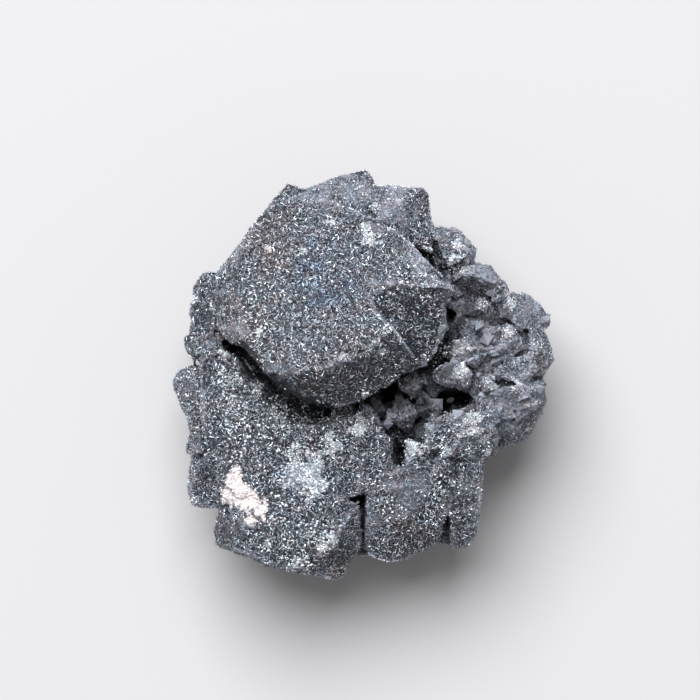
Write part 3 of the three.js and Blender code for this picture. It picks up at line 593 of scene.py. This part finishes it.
# sizes are half lengths in millimetres; lean is how far a grain may tip, in radians
felt = {
    "feltA": {"where": "crust", "perArea": 13.5, "smallest": 0.14, "largest": 0.30, "lean": 0.6, "lift": 0.00,
              "seed": 5, "metal": 0.50, "roughness": 0.42, "gain": 1.6, "contrast": 26.0},
    "feltB": {"where": "crust", "perArea": 13.5, "smallest": 0.13, "largest": 0.27, "lean": 0.8, "lift": 0.03,
              "seed": 7, "metal": 0.60, "roughness": 0.36, "gain": 2.15, "contrast": 32.0},
    "feltC": {"where": "crust", "perArea": 13.5, "smallest": 0.10, "largest": 0.22, "lean": 1.0, "lift": 0.04,
              "seed": 9, "metal": 0.30, "roughness": 0.45, "gain": 2.5, "contrast": 38.0},
}
drusyCrystals = {
    "where": "druse", "perArea": 0.7, "smallest": 0.10, "largest": 0.26, "lean": 0.8, "lift": -0.05,
    "seed": 31, "metal": 0.3, "roughness": 0.55, "gain": 0.7, "contrast": 8.0,
}
blockyCrystals = {
    "where": "ragged", "perArea": 1.1, "smallest": 0.4, "largest": 1.15, "lean": 0.5, "lift": -0.35,
    "seed": 35, "metal": 0.2, "roughness": 0.55, "gain": 0.5, "contrast": 6.0, "grit": 1.8, "frosting": 0.45,
}
chalk = {
    "where": "chalk", "perArea": 30.0, "smallest": 0.06, "largest": 0.16, "lean": 1.5, "lift": 0.03,
    "seed": 41, "shade": (0.74, 0.64, 0.65), "light": (0.92, 0.86, 0.86), "cloud": 0.3, "roughness": 0.75,
}
# white grains of frost, which on the wedge's lit edge are a painted highlight
frost = {
    "where": "rimeAndHighlight", "perArea": 22.0, "smallest": 0.06, "largest": 0.17, "lean": 1.5, "lift": 0.03,
    "seed": 51, "shade": (0.62, 0.68, 0.75), "light": (0.93, 0.97, 1.0), "cloud": 0.3, "roughness": 0.75,
}


def strewLayer(name, grain, look, finish):
    strew(name, {
        "Grain": grains[grain], "Per Area": look["perArea"] / mm ** 2, "Where": look["where"],
        "Smallest": look["smallest"] * mm, "Largest": look["largest"] * mm, "Lean": look["lean"],
        "Lift": look["lift"] * mm, "Seed": look["seed"], "Finish": finish(name, look)})


grainShapes = {
    # a blade: a long edge on top of two slopes
    "blade": ([(-1, 0, 0.08), (1, 0, 0.08), (-0.1, -0.2, -0.1), (0.1, 0.2, -0.1)],
              [(0, 2, 1), (0, 1, 3), (0, 3, 2), (1, 2, 3)]),
    # an octahedron, a little flattened
    "octahedron": ([(1, 0, 0), (0, 1, 0), (-1, 0, 0), (0, -1, 0), (0, 0, 0.8), (0, 0, -0.8)],
                   [(0, 1, 4), (1, 2, 4), (2, 3, 4), (3, 0, 4), (1, 0, 5), (2, 1, 5), (3, 2, 5), (0, 3, 5)]),
}


# the finishes
steel = {
    "gap": (0.010, 0.011, 0.017),  # between the grains, and the colour that painted shade darkens towards
    "dim": (0.032, 0.036, 0.050),
    "bright": (0.84, 0.91, 1.0),
    "close": (0.30, 0.32, 0.38),  # fine, closed crust
    "cloud": (0.33, 0.345, 0.40),  # the ragged side's facets
    "worn": (0.45, 0.465, 0.53),  # crystal edges: wear, and a painted highlight
    # the white of frost, also the painted highlight on the wedge's lit edge
    "frost": (0.92, 0.96, 1.0),
    "brown": (1.06, 0.97, 0.91),  # these tint whatever they lie on
    "blue": (0.84, 0.98, 1.16),
    # darkens the dusky marks: a darker crust, and painted shade
    "crustAndShadeDark": (0.56, 0.56, 0.58),
    "rosy": (1.05, 0.98, 0.98),  # and these two come and go all over it
    "watery": (0.93, 1.0, 1.05),
}
drift = {"size": 1.1, "low": 0.35, "high": 0.65}  # how the two tints come and go, size in millimetres


def tinted(tree, base):
    tint = tree.blend(tree.mark("warm"), (1.0, 1.0, 1.0), steel["brown"])
    tint = tree.blend(tree.mark("cool"), tint, steel["blue"])
    at = tree.place(drift["size"])
    cloud = tree.add("ShaderNodeTexNoise", {}, {"Vector": at, "Scale": 1.0, "Detail": 3.0})
    wash = tree.blend(tree.between(cloud, drift["low"], drift["high"]), steel["rosy"], steel["watery"])
    tint = tree.vector("MULTIPLY", tint, wash)
    # the dusky marks: a darker crust, and painted shade in valleys
    shade = tree.blend(tree.mark("dusky"), (1.0, 1.0, 1.0), steel["crustAndShadeDark"])
    return tree.vector("MULTIPLY", base, tree.vector("MULTIPLY", tint, shade))


stoneLook = {
    "cell": 0.16,  # millimetres across one little face of the bare skin
    "relief": 0.9,  # how deep its bump is, in cells
    "flatter": 0.6,  # how much less of it a fine crust has
    "closed": 0.25,  # how far the bare skin between the grains is from black
    "fine": 0.85,  # how white frost and the painted highlight on the wedge make the skin
    "frosted": 0.4,  # how white a frosted place is
    "creaseShade": 0.6,  # how dark the painted shade in a seam is
    "deep": 0.9,  # the same for painted shade in a hollow
    "metal": 0.35,
    "blockyMetal": 0.25,  # how much less metallic the ragged side is
    "roughness": 0.42,
    "blockyRough": 0.2,  # how much rougher the ragged side is
    "chalkRough": 0.3,
}


def stoneFinish():
    material, tree, surface = newMaterial("hematiteStone")
    at = tree.place(stoneLook["cell"])
    cells = tree.add("ShaderNodeTexVoronoi", {"feature": "F1"}, {"Vector": at, "Scale": 1.0}, "Color")
    lean = tree.vector("SUBTRACT", cells, (0.5, 0.5, 0.5))
    slope = tree.vector("DOT_PRODUCT", tree.vector("SUBTRACT", at, cells.beside("Position")), lean, "Value")
    smooth = tree.mark("smooth")
    bump = tree.add("ShaderNodeBump", {}, {
        "Height": slope * (1.0 - stoneLook["flatter"] * smooth),
        "Distance": stoneLook["cell"] * stoneLook["relief"] * mm, "Strength": 1.0})
    chance = tree.add("ShaderNodeSeparateColor", {}, {"Color": cells}, "Red")
    speck = tree.add("ShaderNodeTexNoise", {}, {"Vector": at, "Scale": 1.0, "Detail": 2.0})
    tone = tree.between(speck * 0.6 + chance * 0.4, 0.3, 0.75)
    blocky = tree.mark("blocky")
    chalky = tree.mark("chalk")
    base = tree.blend(tone * stoneLook["closed"], steel["gap"], steel["close"])
    cloudy = tree.mark("facetFlash") * 0.4 + tone * 1.1 - 0.3  # painted flash: facets paler than others by their direction, mixed with the skin's own tone
    base = tree.blend(blocky, base, tree.blend(cloudy, steel["dim"], steel["cloud"]))
    even = tree.blend(tone * 0.6 + 0.4, steel["dim"], steel["close"])
    base = tree.blend(smooth * stoneLook["fine"], base, even)
    # paler crystal edges: wear, and a painted highlight
    base = tree.blend(tree.mark("edge") * (0.2 + 0.5 * tone), base, steel["worn"])
    # frost, and a painted highlight on the wedge's lit left edge
    frostAndHighlight = tree.between(tree.mark("frostAndHighlight") + (speck - 0.5) * 1.6, 0.45, 0.65)
    base = tree.blend(frostAndHighlight * stoneLook["frosted"], base, steel["frost"])
    # painted shade in the seams between crystals
    creaseShade = tree.between(tree.mark("creaseShade"), 0.2, 1.0) * stoneLook["creaseShade"]
    # painted shade in the hollows darkens towards the gap colour too
    base = tree.blend(creaseShade + tree.mark("deep") * stoneLook["deep"], base, steel["gap"])
    base = tree.blend(chalky, tinted(tree, base), chalk["light"])
    tree.feed(surface["Base Color"], base)
    tree.feed(surface["Metallic"], (stoneLook["metal"] - stoneLook["blockyMetal"] * blocky) * (1.0 - chalky))
    rougher = stoneLook["blockyRough"] * blocky + stoneLook["chalkRough"] * chalky
    tree.feed(surface["Roughness"], stoneLook["roughness"] + rougher)
    tree.feed(surface["Normal"], bump)
    return material


grainLook = {  # what the dark grains share where a kind has no value of its own
    "speck": 0.12,  # millimetres
    "grit": 0.2,  # how much the tone changes along a grain
    "lowerFaceShade": 0.42,  # painted shade: how much dimmer grains are on the big crystal's lower face
    "blocky": 0.22,  # how much dimmer they are on the ragged side
    "fine": 0.78,  # how far a fine crust evens them out
    "worn": 0.5,  # how pale they are on a crystal edge: wear, and a painted highlight
    "deep": 0.85,  # how dark painted shade in a hollow makes them
    "frosting": 0.8,  # how white under frost and the painted highlight on the wedge
    "frostMetal": 0.6,  # how much less metallic under frost
    "fineMetal": 0.5,  # the same in a fine crust
}


def grainFinish(name, ownLook):
    look = {**grainLook, **ownLook}
    material, tree, surface = newMaterial(name)
    at = tree.place(look["speck"])
    speck = tree.add("ShaderNodeTexNoise", {}, {"Vector": at, "Scale": 1.0, "Detail": 1.0})
    tone = tree.mark("tone") + (speck - 0.5) * look["grit"]
    contrast = look["contrast"]  # brightest grain against the dimmest
    spread = (contrast ** tone - 1.0) * (look["gain"] / (contrast - 1))
    # painted shade on the big crystal's lower face, and dimmer grains on the ragged side
    spread = spread * (1.0 - look["lowerFaceShade"] * tree.mark("lowerFaceShade")) * (1.0 - look["blocky"] * tree.mark("blocky"))
    smooth = tree.mark("smooth")
    base = tree.blend(spread, steel["dim"], steel["bright"])
    base = tree.blend(smooth * look["fine"], base, steel["close"])
    # paler crystal edges: wear, and a painted highlight
    base = tree.blend(tree.mark("edge") * look["worn"], base, steel["worn"])
    # painted shade in the hollows
    base = tree.blend(tree.mark("deep") * look["deep"], tinted(tree, base), steel["gap"])
    # frost, and a painted highlight on the wedge's lit left edge
    frostAndHighlight = tree.mark("frostAndHighlight") * tree.between(tone, 0.2, 0.8)
    shine = (1.0 - look["frostMetal"] * frostAndHighlight) * (1.0 - look["fineMetal"] * smooth)
    tree.feed(surface["Base Color"], tree.blend(frostAndHighlight * look["frosting"], base, steel["frost"]))
    tree.feed(surface["Metallic"], look["metal"] * shine)
    tree.feed(surface["Roughness"], look["roughness"])
    return material


def powderFinish(name, look):
    material, tree, surface = newMaterial(name)
    at = tree.place(look["cloud"])
    cloud = tree.add("ShaderNodeTexNoise", {}, {"Vector": at, "Scale": 1.0, "Detail": 3.0})
    tree.feed(surface["Base Color"], tree.blend(tree.between(cloud, 0.35, 0.6), look["shade"], look["light"]))
    tree.feed(surface["Roughness"], look["roughness"])
    return material


studio = {
    "middle": Vector((-1.3, 2.4, 12.5)) * mm,  # what the camera looks at
    "distance": 500.0 * mm,
    "width": 66.5 * mm,  # seen across the picture at the middle
    "floor": 6.0,  # metres across
    "card": (0.505, 0.50, 0.512),
    "cardFibre": (0.500, 0.495, 0.507),
    "fibre": 0.8,  # millimetres
    "cardRoughness": 0.9,
    "sky": 0.34,
    "keyPlace": Vector((-0.23, 0.75, 1.20)),  # metres
    "keySize": 1.20,
    "keyPower": 38.5,
}


def floorFinish():
    material, tree, surface = newMaterial("paleCard")
    at = tree.place(studio["fibre"])
    fibre = tree.add("ShaderNodeTexNoise", {}, {"Vector": at, "Scale": 1.0, "Detail": 4.0})
    tree.feed(surface["Base Color"], tree.blend(fibre, studio["card"], studio["cardFibre"]))
    tree.feed(surface["Roughness"], studio["cardRoughness"])
    return material


def makeStage():
    bpy.ops.mesh.primitive_plane_add(size=studio["floor"])
    floor = bpy.context.object
    floor.name = "floor"
    floor.data.materials.append(floorFinish())
    world = bpy.data.worlds.new("studio")
    world.use_nodes = True
    world.node_tree.nodes["Background"].inputs["Color"].default_value = (1.0, 1.0, 1.0, 1.0)
    world.node_tree.nodes["Background"].inputs["Strength"].default_value = studio["sky"]
    bpy.context.scene.world = world
    light = bpy.data.lights.new("key", "AREA")
    light.shape = "DISK"
    light.size = studio["keySize"]
    light.energy = studio["keyPower"]
    key = addObject("key", light)
    key.location = studio["keyPlace"]
    key.rotation_euler = (studio["middle"] - key.location).to_track_quat("-Z", "Y").to_euler()
    bpy.context.scene.view_settings.view_transform = "Standard"


def makeCamera():
    data = bpy.data.cameras.new("camera")
    data.lens = data.sensor_width * studio["distance"] / studio["width"]
    camera = addObject("camera", data)
    camera.location = studio["middle"] + Vector((0, 0, studio["distance"]))
    bpy.context.scene.camera = camera


print("stone")
stone, creaseLines, crystalFaces = makeStone()
paintMarks(stone.data, creaseLines, crystalFaces)
stone.data.materials.clear()
stone.data.materials.append(stoneFinish())
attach(stone, "root")
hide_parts("crystal_cluster")
print("stone", countTriangles(stone.data), "triangles")

print("grains")
strewing = strewTree()
grains = {name: addObject(name, meshOf(name, *shape)) for name, shape in grainShapes.items()}
for name, look in felt.items():
    strewLayer(name, "blade", look, grainFinish)
strewLayer("drusyCrystals", "octahedron", drusyCrystals, grainFinish)
strewLayer("blockyCrystals", "octahedron", blockyCrystals, grainFinish)
strewLayer("paleCrust", "octahedron", chalk, powderFinish)
strewLayer("frost", "octahedron", frost, powderFinish)
for grain in grains.values():
    bpy.data.objects.remove(grain)

print("stage")
makeStage()
makeCamera()
